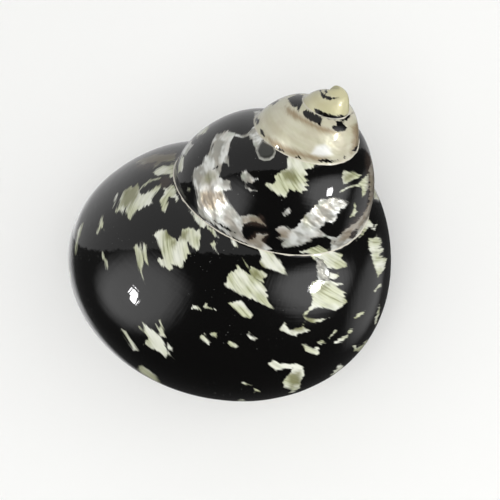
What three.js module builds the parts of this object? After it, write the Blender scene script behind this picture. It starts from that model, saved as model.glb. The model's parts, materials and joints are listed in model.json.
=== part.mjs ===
// Turban shell: one right-handed coiled shell, resting mouth down on its flat lip.
// Millimetres, +Z up. The floor is Z = 0 and the origin is the middle of the footprint.
import * as THREE from 'three';

// Growth laws. A length at growth turn u is size * exp(rate * u + bend * u^2 + twist * u^3).
// u counts turns of the coil: 0 is the middle of the front, and it rises towards the mouth.
const COIL_RADIUS = { size: 15.2, rate: 0.697, bend: -0.081, twist: 0 };
const COIL_DROP = { size: 53.3, rate: 0.56, bend: -0.044, twist: -0.0098 };
const TUBE_RADIUS = { size: 21.8, rate: 0.366, bend: -0.067, twist: 0 };
const TUBE_FLATTENING = 0.057; // how far the round tube leans towards a soft triangle
const DEEPEST_SUTURE = THREE.MathUtils.degToRad(120); // the suture lies before this wall angle

// Where the coil begins and ends, in growth turns.
const MOUTH_TOP_TURN = 0.51; // the lip where it meets the whorl before it
const MOUTH_BASE_TURN = 0.36; // the lip beside the columella
const LIP_CORNER_TURNS = 0.03; // rounding of the lip where it lifts off the floor
const LIP_RECEDES = 0.5; // share of the base over which the lip falls back to the columella
const WHORLS = 4.1; // full turns before the last one reaches the mouth

// How the shell lies on the floor.
const AXIS_RISE = THREE.MathUtils.degToRad(40); // coil axis above the floor
const AXIS_HEADING = THREE.MathUtils.degToRad(40); // direction the apex points, from +X
const LOW_SIDE_TURN = 210 / 360; // growth turn whose outer face is turned to the floor
const FLOOR_DEPTH = 55.5; // apex end of the axis to the floor, square to the floor

// Walls and hollow.
const LIP_WALL = 2.6;
const INNER_LIP_CALLUS = 0.9;
const COLUMELLA_RADIUS = 8;
const COLUMELLA_DIMPLE = 66; // apex end of the axis to the dimple in the middle of the base
const DIMPLE_START = 0.75; // share of the base, from the suture inwards, before the dimple
const HOLLOW_TURNS = 0.5;
const HOLLOW_TAPER_START = 0.6; // share of the hollow's length before its end rounds off
const HOLLOW_TAPER = 0.97; // share of its cross-section that the rounded end loses
const CORNER_ROUNDING = 2.0;

// Mesh fineness.
const STEPS_PER_TURN = 40;
const WHORL_COLUMNS = 9;
const BASE_COLUMNS = 11;
const LIP_STEPS = 8;
const HOLLOW_STEPS = 12;

// How the skin's crossings are searched for, and how close counts as touching.
const HALVINGS = 50;
const LIP_SEARCH = { before: 0.3, after: 0.1 }; // growth turns about the end of a strand
const HOLLOW_SEARCH = { before: 0.05, after: 0.1 }; // growth turns about the edge of the mouth
const REACH_PROBES = 60;
const REACH_LIMIT = 1.3; // in tube radii
const LEAST_TILT = 0.01; // a direction that leans less towards the axis misses the columella
const FLOOR_TOUCH = 0.001;
const WELDS_PER_MM = 2000;

const TURN = 2 * Math.PI;
const mix = THREE.MathUtils.lerp;

function grown(law, u) {
  return law.size * Math.exp(law.rate * u + law.bend * u * u + law.twist * u ** 3);
}

// Middle and radius of the round tube, in the plane through the axis.
function tubeAt(u) {
  return { r: grown(COIL_RADIUS, u), z: -grown(COIL_DROP, u), a: grown(TUBE_RADIUS, u) };
}

function outline(angle) {
  return 1 - TUBE_FLATTENING * Math.sin(3 * angle);
}

// Point of the tube wall; angle 0 is the outer side and a quarter turn is the apex side.
function wallPoint(u, angle) {
  const { r, z, a } = tubeAt(u);
  const reach = a * outline(angle);
  return { r: r + reach * Math.cos(angle), z: z + reach * Math.sin(angle) };
}

// Positive outside the tube of growth turn u, negative inside it.
function outsideTube(u, point) {
  const { r, z, a } = tubeAt(u);
  const dr = point.r - r;
  const dz = point.z - z;
  return Math.hypot(dr, dz) - a * outline(Math.atan2(dz, dr));
}

// The value between low and high where f stops being negative, or high if it never does.
function firstRise(f, low, high) {
  if (f(high) < 0) {
    return high;
  }
  for (let i = 0; i < HALVINGS; i++) {
    const middle = (low + high) / 2;
    if (f(middle) < 0) {
      low = middle;
    } else {
      high = middle;
    }
  }
  return (low + high) / 2;
}

// Angle at which the tube wall crosses the coil axis on the apex side.
function axisAngle(u) {
  const { r, a } = tubeAt(u);
  return Math.acos(Math.max(-1, -r / a));
}

// The suture is where a tube runs into the tube one turn before it.
function sutureAngle(u) {
  const buried = (angle) => -outsideTube(u - 1, wallPoint(u, angle));
  return firstRise(buried, 0, Math.min(axisAngle(u), DEEPEST_SUTURE));
}

function lowerSutureAngle(u) {
  const suture = wallPoint(u + 1, sutureAngle(u + 1));
  const { r, z } = tubeAt(u);
  return Math.atan2(suture.z - z, suture.r - r);
}

// Outer skin between two sutures; v runs from the upper suture (0) to the lower one (1).
function whorlPoint(u, v) {
  return wallPoint(u, mix(sutureAngle(u), lowerSutureAngle(u), v));
}

// Base of the last whorl; w runs from the suture line (0) to the dimple on the axis (1).
function basePoint(u, w) {
  const wall = wallPoint(u, mix(lowerSutureAngle(u), -axisAngle(u), w));
  const sink = THREE.MathUtils.smoothstep(w, DIMPLE_START, 1);
  return { r: Math.max(0, mix(wall.r, 0, sink)), z: mix(wall.z, -COLUMELLA_DIMPLE, sink) };
}

// Resting frame: the coil axis, the side facing down, and the growth direction beside it.
const axis = new THREE.Vector3(
  Math.cos(AXIS_RISE) * Math.cos(AXIS_HEADING),
  Math.cos(AXIS_RISE) * Math.sin(AXIS_HEADING),
  Math.sin(AXIS_RISE),
);
const lowSide = new THREE.Vector3(0, 0, -1).addScaledVector(axis, axis.z).normalize();
const growthSide = new THREE.Vector3().crossVectors(lowSide, axis);

function place(u, point) {
  const angle = (u - LOW_SIDE_TURN) * TURN;
  return new THREE.Vector3(0, 0, FLOOR_DEPTH)
    .addScaledVector(lowSide, point.r * Math.cos(angle))
    .addScaledVector(growthSide, point.r * Math.sin(angle))
    .addScaledVector(axis, point.z);
}

// Distance from the middle of the tube to the whorl before it, along one direction.
function reachToLastWhorl(u, angle) {
  const { r, z, a } = tubeAt(u);
  const along = (d) => ({ r: r + d * Math.cos(angle), z: z + d * Math.sin(angle) });
  const step = (REACH_LIMIT * a) / REACH_PROBES;
  for (let i = 1; i <= REACH_PROBES; i++) {
    const far = step * i;
    if (outsideTube(u - 1, along(far)) < 0) {
      return firstRise((d) => -outsideTube(u - 1, along(d)), far - step, far);
    }
  }
  return Infinity;
}

function softMin(first, second, rounding) {
  if (!Number.isFinite(second)) {
    return first;
  }
  const share = THREE.MathUtils.clamp(0.5 + (second - first) / (2 * rounding), 0, 1);
  return mix(second, first, share) - rounding * share * (1 - share);
}

// Growth turn at which a strand of the skin reaches the floor, which makes the lip flat.
// A strand that never does ends at the latest turn, and the change between them is soft.
function lipTurn(strand, latest) {
  const height = (u) => place(u, strand(u)).z;
  const reached = firstRise((u) => -height(u), latest - LIP_SEARCH.before, latest + LIP_SEARCH.after);
  return softMin(reached, latest, LIP_CORNER_TURNS);
}

// Radius of the hollow about the middle of the tube.
function hollowRadius(u, angle) {
  const { r, a } = tubeAt(u);
  const size = a / tubeAt(MOUTH_BASE_TURN).a;
  const outer = a * outline(angle) - LIP_WALL;
  const inner = reachToLastWhorl(u, angle) - INNER_LIP_CALLUS;
  const facingAxis = -Math.cos(angle);
  const toColumn = (r - COLUMELLA_RADIUS * size) / facingAxis;
  const column = facingAxis > LEAST_TILT ? toColumn : Infinity;
  return softMin(softMin(outer, inner, CORNER_ROUNDING), column, CORNER_ROUNDING);
}

// Collects triangles and welds corners that share a place.
class Skin {
  constructor() {
    this.corners = [];
    this.triangles = [];
    this.known = new Map();
  }

  corner(place) {
    const key = place.toArray().map((value) => Math.round(value * WELDS_PER_MM)).join();
    if (!this.known.has(key)) {
      this.known.set(key, this.corners.length);
      this.corners.push(place);
    }
    return this.known.get(key);
  }

  triangle(a, b, c) {
    const ids = [a, b, c].map((place) => this.corner(place));
    if (new Set(ids).size === 3) {
      this.triangles.push(ids);
    }
  }

  // Fills between two rows of places, the second row further along the growth.
  strip(row, next) {
    for (let j = 0; j + 1 < row.length; j++) {
      this.triangle(row[j], next[j], row[j + 1]);
      this.triangle(next[j], next[j + 1], row[j + 1]);
    }
  }

  fan(row, tip) {
    this.strip(row, row.map(() => tip));
  }

  geometry() {
    const geometry = new THREE.BufferGeometry();
    const flat = this.corners.flatMap((place) => place.toArray());
    geometry.setAttribute('position', new THREE.Float32BufferAttribute(flat, 3));
    geometry.setIndex(this.triangles.flat());
    geometry.computeVertexNormals();
    return geometry;
  }
}

const whorlShares = Array.from({ length: WHORL_COLUMNS + 1 }, (_, j) => j / WHORL_COLUMNS);
const baseShares = Array.from({ length: BASE_COLUMNS + 1 }, (_, j) => j / BASE_COLUMNS);
const whorlLip = whorlShares.map((v) => lipTurn((u) => whorlPoint(u, v), MOUTH_TOP_TURN));
const baseLip = baseShares.map((w) => {
  const receded = THREE.MathUtils.smoothstep(w, 0, LIP_RECEDES);
  return lipTurn((u) => basePoint(u, w), mix(MOUTH_TOP_TURN, MOUTH_BASE_TURN, receded));
});

const rowTurn = (i) => MOUTH_TOP_TURN - 1 + i / STEPS_PER_TURN;
const whorlRow = (turns) => whorlShares.map((v, j) => place(turns[j], whorlPoint(turns[j], v)));
const baseRow = (turns) => baseShares.map((w, j) => place(turns[j], basePoint(turns[j], w)));
const level = (u, shares) => shares.map(() => u);

function rowsOfWhorls() {
  const first = -Math.round((WHORLS - 1) * STEPS_PER_TURN);
  const last = STEPS_PER_TURN - LIP_STEPS;
  const rows = [];
  for (let i = first; i <= last; i++) {
    rows.push(whorlRow(level(rowTurn(i), whorlShares)));
  }
  for (let i = 1; i <= LIP_STEPS; i++) {
    rows.push(whorlRow(whorlLip.map((u) => mix(rowTurn(last), u, i / LIP_STEPS))));
  }
  return rows;
}

// The base starts on the line where the mouth meets the whorl before it.
const innerLip = baseShares.map((w) => mix(MOUTH_TOP_TURN, MOUTH_BASE_TURN, w) - 1);

function rowsOfBase() {
  const last = STEPS_PER_TURN - LIP_STEPS;
  const rows = [];
  for (let i = 0; i < LIP_STEPS; i++) {
    rows.push(baseRow(innerLip.map((u) => mix(u, rowTurn(0), i / LIP_STEPS))));
  }
  for (let i = 0; i <= last; i++) {
    rows.push(baseRow(level(rowTurn(i), baseShares)));
  }
  for (let i = 1; i <= LIP_STEPS; i++) {
    rows.push(baseRow(baseLip.map((u) => mix(rowTurn(last), u, i / LIP_STEPS))));
  }
  return rows;
}

// The closed edge of the mouth: along the lip, round the columella and back up the inner lip.
function mouthEdge() {
  const lip = whorlShares.map((v, j) => ({ u: whorlLip[j], point: whorlPoint(whorlLip[j], v) }));
  const base = baseShares.map((w, j) => ({ u: baseLip[j], point: basePoint(baseLip[j], w) }));
  const inner = baseShares.map((w, j) => ({ u: innerLip[j] + 1, point: basePoint(innerLip[j], w) }));
  const edge = [...lip, ...base.slice(1), ...inner.slice(0, -1).reverse()];
  return edge.map(({ u, point }) => {
    const { r, z } = tubeAt(u);
    const angle = Math.atan2(point.z - z, point.r - r);
    const reach = Math.hypot(point.z - z, point.r - r);
    return { u, angle, reach, outer: place(u, point) };
  });
}

// The hollow starts at the mouth and narrows to a rounded end inside the shell.
function rowsOfHollow(edge) {
  const inside = (u, angle, limit) => {
    const { r, z } = tubeAt(u);
    const reach = Math.min(limit, hollowRadius(u, angle));
    return place(u, { r: r + reach * Math.cos(angle), z: z + reach * Math.sin(angle) });
  };
  const starts = edge.map(({ u, angle, outer }) => {
    if (Math.abs(outer.z) > FLOOR_TOUCH) {
      return u;
    }
    const height = (turn) => inside(turn, angle, Infinity).z;
    return firstRise((turn) => -height(turn), u - HOLLOW_SEARCH.before, u + HOLLOW_SEARCH.after);
  });
  const rows = [];
  for (let i = 0; i <= HOLLOW_STEPS; i++) {
    const depth = i / HOLLOW_STEPS;
    const taper = THREE.MathUtils.smoothstep(depth, HOLLOW_TAPER_START, 1);
    const narrowing = Math.sqrt(1 - HOLLOW_TAPER * taper);
    rows.push(edge.map(({ angle, reach }, j) => {
      const turn = mix(starts[j], MOUTH_BASE_TURN - HOLLOW_TURNS, depth);
      const limit = i === 0 ? reach - INNER_LIP_CALLUS : hollowRadius(turn, angle) * narrowing;
      return inside(turn, angle, limit);
    }));
  }
  return rows;
}

function shellGeometry() {
  const skin = new Skin();
  const join = (rows) => rows.slice(1).forEach((row, i) => skin.strip(rows[i], row));
  const whorls = rowsOfWhorls();
  join(whorls);
  join(rowsOfBase());

  const tip = tubeAt(rowTurn(-Math.round((WHORLS - 1) * STEPS_PER_TURN)));
  const apex = place(0, { r: 0, z: tip.z + tip.a });
  const firstTurn = whorls.slice(0, STEPS_PER_TURN + 1).map((row) => row[0]);
  skin.fan([...whorls[0]].reverse(), apex);
  skin.fan(firstTurn, apex);

  const edge = mouthEdge();
  const hollow = rowsOfHollow(edge);
  const close = (row) => [...row, row[0]];
  const ring = [edge.map(({ outer }) => outer), ...hollow].map(close);
  join(ring);
  const end = hollow[HOLLOW_STEPS];
  const middle = end.reduce((sum, place) => sum.add(place), new THREE.Vector3());
  skin.fan(close(end), middle.divideScalar(end.length));
  return skin.geometry();
}

const geometry = shellGeometry();
geometry.computeBoundingBox();
const middle = geometry.boundingBox.getCenter(new THREE.Vector3());
geometry.translate(-middle.x, -middle.y, 0);

const polishedShell = new THREE.MeshStandardMaterial({ color: 0x17130f, roughness: 0.12, metalness: 0 });
const shell = new THREE.Mesh(geometry, polishedShell);
shell.name = 'shell';

const group = new THREE.Group();
group.name = 'turban_shell';
group.add(shell);
export default group;
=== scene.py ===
"""Turban shell: a polished black coiled shell with cream marks and pearly worn patches."""
import json
import math

import bpy
import numpy as np
from mathutils import Matrix, Vector

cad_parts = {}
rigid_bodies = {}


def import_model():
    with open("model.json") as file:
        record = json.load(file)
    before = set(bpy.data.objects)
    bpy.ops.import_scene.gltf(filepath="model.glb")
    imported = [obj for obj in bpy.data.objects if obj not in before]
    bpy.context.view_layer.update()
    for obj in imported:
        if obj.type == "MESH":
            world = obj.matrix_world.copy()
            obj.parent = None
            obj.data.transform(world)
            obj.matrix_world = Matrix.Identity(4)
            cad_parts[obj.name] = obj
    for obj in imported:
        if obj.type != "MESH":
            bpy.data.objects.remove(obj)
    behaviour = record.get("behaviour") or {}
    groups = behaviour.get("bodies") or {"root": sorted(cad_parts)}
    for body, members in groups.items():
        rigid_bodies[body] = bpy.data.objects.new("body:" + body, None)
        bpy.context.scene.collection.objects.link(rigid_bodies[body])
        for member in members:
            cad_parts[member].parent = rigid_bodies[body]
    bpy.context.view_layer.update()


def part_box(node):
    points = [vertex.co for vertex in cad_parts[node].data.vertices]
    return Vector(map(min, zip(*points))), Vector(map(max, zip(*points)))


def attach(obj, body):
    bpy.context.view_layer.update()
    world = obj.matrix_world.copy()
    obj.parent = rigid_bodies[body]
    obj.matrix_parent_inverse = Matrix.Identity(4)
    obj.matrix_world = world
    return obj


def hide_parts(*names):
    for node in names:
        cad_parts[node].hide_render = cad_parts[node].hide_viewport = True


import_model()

MM = 0.001
TURN = 2 * math.pi

# Growth laws of the coil, as in the solid: size in mm, then rate, bend and twist per turn.
COIL_RADIUS = (15.2, 0.697, -0.081, 0.0)
COIL_DROP = (53.3, 0.56, -0.044, -0.0098)
TUBE_RADIUS = (21.8, 0.366, -0.067, 0.0)
TUBE_FLATTENING = 0.057
DEEPEST_SUTURE = math.radians(120)

# Ends of the coil, in turns from the middle of the front.
MOUTH_TOP_TURN = 0.51
MOUTH_BASE_TURN = 0.36
LIP_CORNER_TURNS = 0.03
WHORLS = 4.1
TIP_TURNS = (-2.3, -3.2)  # the tip rises above the growth laws between these turns
TIP_RISE = 0.7  # in mm

# How the shell lies on the floor; lengths in mm.
AXIS_RISE = math.radians(40)
AXIS_HEADING = math.radians(40)
LOW_SIDE_TURN = 210 / 360
FLOOR_DEPTH = 55.5

# Walls and hollow, in mm.
LIP_WALL = 2.6
INNER_LIP_CALLUS = 0.9
COLUMELLA_RADIUS = 8.0
COLUMELLA_DIMPLE = 66.0
DIMPLE_START = 0.75
HOLLOW_TURNS = 0.5
HOLLOW_TAPER_START = 0.6  # share of the hollow's length at which its end starts to close
HOLLOW_TAPER = 0.97
CORNER_ROUNDING = 2.0
LIP_RECEDES = 0.5  # share of the base over which the lip draws back from its top
LIP_EDGE_ROUNDING = 0.8
LIP_LEVER = 0.6  # the way to the lip is measured this many tube radii out
LIP_EDGE_DEPTH = 0.9  # 1 rounds the edge by a full quarter circle
LIP_CORNER_SHARE = 0.06  # the edge stays sharp this near the suture, as a share of the whorl
DRIP_HEIGHT = 0.5
DRIP_ROUNDING = 0.9

# Searches for places on the coil.
HALVINGS = 40
LIP_SEARCH = (0.3, 0.1)  # turns before and after the latest lip
HOLLOW_SEARCH = (0.05, 0.1)  # turns before and after the outer lip
REACH_PROBES = 60
REACH_LIMIT = 1.3  # in tube radii
LEAST_REACH = 1.0  # in mm
LEAST_TILT = 0.01  # cosine; flatter directions count as never meeting the columella
FLOOR_TOUCH = 0.001  # in mm
NO_LIMIT = 1e6  # in mm, in place of an endless reach
LENGTH_STEPS = 2000
OUTSIDE_SHARE = 0.7  # lengths along the coil are taken this many tube radii out

# Mesh fineness. The front of the coil has closer rows than the back, and cells that the edge
# of a mark crosses are cut FINE_SPLIT times each way.
ROWS = 208
FRONT_CROWDING = 0.5
WHORL_COLUMNS = 46
BASE_COLUMNS = 22
LIP_ROWS = 42
INNER_LIP_ROWS = 24
LIP_EDGE_SHARES = (0.4, 0.7, 0.9, 1.0)
HOLLOW_ROWS = 26
PENULTIMATE_STEP = 2  # earlier whorls use every second or fourth row
SPIRE_STEP = 4
FINE_SPLIT = 4
WHORL_SHARES = np.linspace(0, 1, WHORL_COLUMNS + 1)
BASE_SHARES = np.linspace(0, 1, BASE_COLUMNS + 1)
SPLIT_PIXELS = 2.6  # cells whose middle is this near the edge of a mark are cut

# The photo's camera: its picture is 500 pixels wide, and places are in mm.
PICTURE_PIXELS = 500
FOCAL_PIXELS = 800
VIEW_RISE = math.radians(39.9)  # above the coil's own equator, over the front of the last whorl
VIEW_ROLL = math.radians(27.9)  # the coil axis leans this far to the right in the picture
APEX_IN_VIEW = (19.0, 33.9, -156.0)  # apex end of the axis: right of, above and beyond the camera
PIXEL_MM = 0.195  # a pixel on the front of the shell

# Marks seen in the photo, by whorl and kind, as outlines "x,y x,y ..." in its pixels.
LAST_CREAM = {
    "top streaks":
        "136,162 143,158 152,155 164,154 176,153 175,161 163,162 152,168 157,162 148,163 137,166 142,162",
    "top patch": "152,173 157,169 163,165 169,166 172,164 176,164 175,176 171,179 169,175 164,174 158,176",
    "white thread": "139,190.5 144,184 150,180 160,177 161,178.5 152,181 146,185",
    "jagged patch":
        "123,192 131,185 133,188 138,184 139,190 141,194 146,193 150,191 156,186 162,184 161,188 156,193 "
        "152,199 153,203 149,206 146,205 141,210 137,210 134,214 130,219.5 127,218 125.5,207 121,216 "
        "120,210 117,213.5 116,211 120,201 121,196",
    "left sliver": "117.8,193 117,198 112.5,208 114.5,200",
    "faint slivers": "105.5,212 103,220 103.5,230 101,226 98,235 96.5,233 101,219",
    "left edge": "83,223 82,229 78.5,240 75.5,255 74.5,247 78,230",
    "far left edge": "68,266 69.5,273 71,288 69,284 67,274",
    "spike":
        "164,188 170,186 174,184 176,192 179,199 176,202 175,198 169,197.5 166.5,209 164,212 162,211 "
        "160,200 164,194",
    "three-lobed patch":
        "153.5,235 157,231 160,229.5 166,230 170,236 177,240 181,236 182,230 190,227 196,230.5 200,229 "
        "199.5,249 197,251 190,245 187,242.5 190.5,254 188,254 187,258 183,262 182,268 175,265 171.5,264 "
        "173,269 169,270.5 163,267 157,261 158,259 163,258.5 160,248 157,240",
    "twin blade":
        "137,242 133.5,247.5 136.5,258 139,270 144,284.5 142.3,272 143,262 142,248 139.8,240.5 140.5,250 "
        "139,247",
    "twin blade mate": "143.5,241.5 146,245 147.5,256 149,267 145,260 143.3,250",
    "curved sliver": "102,251.5 105,258 107.5,262 107.8,266 106.5,270 105,262 102.3,256",
    "lower left blade": "121.5,329 126,331 131,339 138,351 133.5,350 128,340",
    "lower wedge":
        "139,326 146,332 143,322 152,330 156,333 161,337 165,344 168,354 166,358 159,352 149,347 144,344 "
        "148,338",
    "wedge barbs": "160,320 163.5,330 166,338 160,336 155.5,324 159,329 160,328",
    "wedge chip": "167,342.5 172,348 173,352 169,349 170.5,355 174,361 168,354",
    "bottom left blade": "137,367.5 140,365 148,369.5 156,376.5 163,385.5 152,381 142,373.5",
    "tick": "203,307 204,304 208,303 207,306 219,310.5 205,308.5",
    "tick dots": "191.5,309 192.5,306 197,305.5 201,310 196,308.5",
    "low chip one": "200,336 204,334 211,343 209,344.5 200,338",
    "low chip two": "227,343 230,341 236,343 240,347 236,348 231,346",
    "low chip three": "246.5,334 248.5,331 251,335 258,338.5 255,340 250,338.5",
    "low chip four": "210,334 214,332 219,332.5 216,335 217,339 213,336",
    "slanted patch":
        "236,264.5 239,267 250,275 262,283 267,291 265.5,292.5 269,295.5 267.5,297.5 270,304 274,309.5 "
        "262,304 243,296 227,287.5 225,284 229,273 234,271 237,268",
    "olive corner": "249,271 251,266.5 263,271.5 267,274.5 265,278 262,278 264,283 252,277",
    "hair": "242,256 244.5,260 249.5,269 246.5,266.5 243,260",
    "white flag":
        "254,243 259,251 261,256 260,263 264,267 274,270.5 288.5,276.5 283,266 280,260 272,252.5 270,246",
    "slab": "228,303 233,301.5 241,300.5 244,303 249,310 253,315 250,319 243,316",
    "suture chip one": "187,206 193,210.5 198,214 206,223 205,227.5 201,228 195,220",
    "suture chip two": "206,222 213,229 219,238 216,237 208,229",
    "suture chip three": "214,240.5 216,243 215.5,247 217.8,254 213,248 210.8,244",
    "suture chip four": "228,236 234,239 239,248 234,246",
    "right flag":
        "308,250 318,245 328,250 343,254.5 341,259 348,264.5 344,267.5 336,270 322,268 317,262 310,256",
    "right flag tail": "327,272 338,273 339.5,276 336,278.5 328,279",
    "toothed patch":
        "317,280 326,279.5 342,284 337,285 339,288 346.5,293.5 343,294.5 346.5,299 347,302 342,307 "
        "336,310.5 326,308 314,308 302,317 311,306 312,298 309,288 311,284",
    "olive thread": "302,314 308,318.5 316,319.5 323,318.5 330,317.5 321,321.5 312,323 305,321",
    "arch":
        "280,328 284.5,322.5 290,329 299,328.5 303,325 306,328 312,330 303,332.5 299,334.5 291,335 281,330",
    "right blade":
        "368.5,238 373,238 377,234.5 378,238.5 381.5,240 379.5,249 383.5,248.5 379,256.5 387,258 384,270 "
        "381.5,274 378,276.5 374,267 370,251 368,244",
    "low right patch":
        "301.5,344 305,343.5 313,348 318.5,346.5 319,350 321,352 317,355.5 305,351 305.5,347.5",
    "low right chip": "317,342 319.5,340 323,340.5 326.5,343.5 321,344",
    "right hair": "335.5,329.5 336.8,331 330,338 329,337",
    "right leaf": "333,344 338,339 346,336 350,329 352.5,329 351,333 342,342",
    "hook":
        "267,364 271,360.5 276,361 280,363.5 296,363.5 302,366.5 304.5,372 304,376 300.5,380 300,389 "
        "288,394 292,389.5 284,387 282.5,382 289,374 293,368 281,369.5 276,370 272,367",
    "bottom right chip": "331,376 338,365.5 341,364 344.5,367 342,372 333,379",
    "right rim blade": "353,346 355,345 357,347.5 363,344 370,338 366,346 360,352 354,350",
    "right rim leaf": "355,318.5 357,314 366,310 361,316.5",
    "right rim slivers": "379.5,306 380,311 375.5,325 374,322",
    "right rim chip": "380.5,283 380.5,286 375,292 375,289",
    "bottom slivers": "241.5,383 244,381.5 252.5,385.5 246,384.5",
    "bottom chip": "254,392 254,388 260.5,392",
    "bottom rim": "237,400.5 241,398.5 248,402.5 241,404",
    "top right edge": "373,182 379,187 386,198 392,213 386,207 382,201 374,199",
    "right fork": "365,221 370,220 374,227 377.5,221.5 375,230 369,228 362,235 354,242",
}
LAST_PEARL = {
    "blue sheen": "316,258 323,260 329,270 329,280 319,281.5 316.5,274",
}
LAST_OLIVE = {
    "lobe": "164,229 171,233 172,240 166,239",
    "lobe spot": "171,240 176,241 176,248 171,246",
    "lobe right": "180,232 188,231 187,240 180,240",
    "corner": "249,270 257,270 262,277 254,278",
    "jagged": "124,190 139,184 138,197 128,208 121,206",
    "streaks": "136,155 176,152 176,165 150,166",
    "thread": "305,317 314,319 313,324 306,323",
    "arch": "288,327 304,325 303,331 292,332",
    "flag shadow": "258,260 263,264 268,271 261,268",
    "patch": "318,284 330,283 326,290 320,291",
    "top right": "374,188 379,189 382,199 375,198",
    "hook": "287,374 300,371 301,384 291,388",
}
LAST_BROWN = {
    "brown spot": "160,179 167,175 172,181 168,188 160,187",
    "streaks": "134,168 140,156 176,150 178,158 164,162 146,170",
}
PENULTIMATE_CREAM = {
    "top chip": "211,121 206,133 199,135 197,138 197,133 204,124",
    "left edge": "182,154 184,159 184,168 182,171 178,173 178,165",
    "small chip": "188,186 189.5,189 188.8,194 186.5,190",
    "jagged patch":
        "288,154 302,156 317,162 313,168 304,170 307,174 305,177 309,181 304,182 309,185.5 305,187 309,190 "
        "303,190.5 302.5,193.5 296,191 289,190 285,198.5 276,193 266,186 264,183.5 272,183.5 275,181 "
        "273.5,177 280,171.5 287,168.5 287,164",
    "right leaf": "343,170 354,172.5 362,175 358,178 347,183 343.5,184 342.5,178",
    "right streak": "340,192 347,186.5 356,184 364,178 370,171 369,186 364,196 361.8,197 362,187 355,186.5",
    "right spur": "355,202.5 356.8,212 354.5,216 350,217.5 353,211",
    "suture line": "300,252 318,246 330,252 318,256",
}
PENULTIMATE_PEARL = {
    "column":
        "216,134.5 227,130.5 236,133 242,135.5 247,133 251,130 254.5,124 254,112 260,110 266,136 262,142 "
        "256,151 252,140 249,136.5 241,138 234,136 231,142 230,149 227.5,154 229.5,166 224,162 221,168 "
        "219,177 223,179 232,180.5 230,184 232,190 223,191 229,202 240,216 250,214.5 257,216 266,225.5 "
        "256,221.5 243,224 241,231 244,238 249,240 255,238 257,233 268,234.5 261,241 272,249 262,252 "
        "230,236 198,214 196.5,203 197.5,197 193,182 192,176 195,168 203,163 205,157 210,151 213,141",
    "small pearl": "242,171 246,170 253,176 258,179 252,183.5 247,183 243,181 241,176",
    "pearl rim": "244.5,182 247,187 257,191 250,191.5 245,188",
    "diagonal":
        "320,199.5 334,197 344,200 349,204 346,207.5 340,211 336,219 333,223 326,222.5 320,229 327,235.5 "
        "337,237 332,250 330,240 326,237 311,238 312,241 300,246 283,248 281,245 284,241 277,237.5 281,235 "
        "275,230 279,226 285,226 291,229.5 296,226 301,219.5 310,211",
    "island": "283,212 289,208 290.5,211 288,215.5 284,216",
    "right band":
        "369,146 374,152 377,172 376,190 374,203 373,216 364,232 352,242 330,254 335,239 346,229 359,219.5 "
        "368,206 370,190 369,172 371,162",
}
PENULTIMATE_OLIVE = {
    "jagged": "281,171 291,169 297,176 296,183 284,180",
    "diagonal": "303,216 309,216 309,229 302,228",
    "leaf": "344,174 354,174 351,180 344,182",
    "column": "210,171 218,173 216,180 203,184 201,179",
}
PENULTIMATE_TAN = {
    "column": "199,192 222,191 228,204 214,210 200,208",
    "fingers": "243,216 262,217 266,226 243,224",
    "toe": "256,233 268,234 262,250 246,242",
    "heel": "278,230 290,230 288,238 280,238",
    "right band": "366,146 378,152 377,190 374,212 352,238 337,243 346,229 368,206",
}
PENULTIMATE_DARK = {
    "right island": "349.5,237 352,231 356,229.5 359,231 357,234 353,239",
    "column spot": "213,169.5 215,167 218.5,166 217,168",
    "suture wedge": "193,208.5 199,215 196,213",
    "suture streaks": "213,220 222,225 235,233 225,228.5",
}
SPIRE_DARK = {
    "left blotch": "288,98 292,96 299,93 303,96 303,101 301,105 298.5,111.5 297,106.5 293,107 289,103",
    "middle blotch": "302.5,111 309,110 311,113.5 318,114 322,119 320.5,125.5 309,119.5 304,116",
    "right blotch": "331,128 336,125 337,121 342,121 347,127.5 344,131 335,131",
    "left dots": "254,117 257,117 259.5,121 257,125",
    "left dot two": "260,128.5 262.5,130 264,136 261,134",
    "left dot three": "271.5,104 277,100 279,100.5 274,104",
    "suture dot one": "277,147 279,147.5 284,151.5 280,151",
    "suture dot two": "294.5,157.5 298,155.8 301.5,159",
    "suture dots": "318,160.5 324,158.5 337,161 326,163",
    "suture dot three": "344,155.5 346.5,158 345,160.5 343,158",
    "right suture": "352,151 357,146 362,143 366,150 358,152",
    # Painted shadow in the suture crease below the whorl above.
    "upper suture": "314,108.5 330,114.6 345,116.4 354,111.5 347,120.4 330,119.2 316,114",
    "tip line": "320,90 324,94.5 330,97 338,97.5 330,100.2 321,96.5",
    "tip dot": "324.8,90 326.8,89 327.5,92.5 326,93",
}
SPIRE_TAN = {
    # The first mark is a painted shadow below the step of the whorl above; the other two are brown bands.
    "shadow under step": "285,106 290,108 303,117 320,126 336,131 341,136 322,132 301,122 288,114",
    "lower band": "266,136 288,147 306,154 330,158 318,161 290,155 272,147",
    "right band": "352,126 362,120 360,146 350,156 352,140",
}
SPIRE_PEARL = {
    # A flat spot of nacre; its white is a painted lamp reflection.
    "bright facet": "311,154 316,146 325,144 330,148 333,155 322,157",
}
DRIP = {
    "lacquer drip": "262,140 267,143 274,147 276,152 274,157.5 270,160.5 264,161 259,159 256,152 258,146",
}
PHOTO_MARKS = {
    "last": {"cream": LAST_CREAM, "pearl": LAST_PEARL, "olive": LAST_OLIVE, "tan": LAST_BROWN},
    "penultimate": {"cream": PENULTIMATE_CREAM, "pearl": PENULTIMATE_PEARL, "olive": PENULTIMATE_OLIVE,
                    "tan": PENULTIMATE_TAN, "dark": PENULTIMATE_DARK, "drip": DRIP},
    "spire": {"pearl": SPIRE_PEARL, "tan": SPIRE_TAN, "dark": SPIRE_DARK, "drip": DRIP},
}
KINDS = ("cream", "pearl", "olive", "tan", "dark", "drip")
SHARP_KINDS = ("cream", "pearl", "dark", "drip")  # the mesh is cut finely at their edges
MARK_REACH = 3.0  # marks are felt this far from their edges, in mm
STREAK_LEAN = math.radians(-32)  # streaks in the marks lean from the growth towards the upper suture
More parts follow.
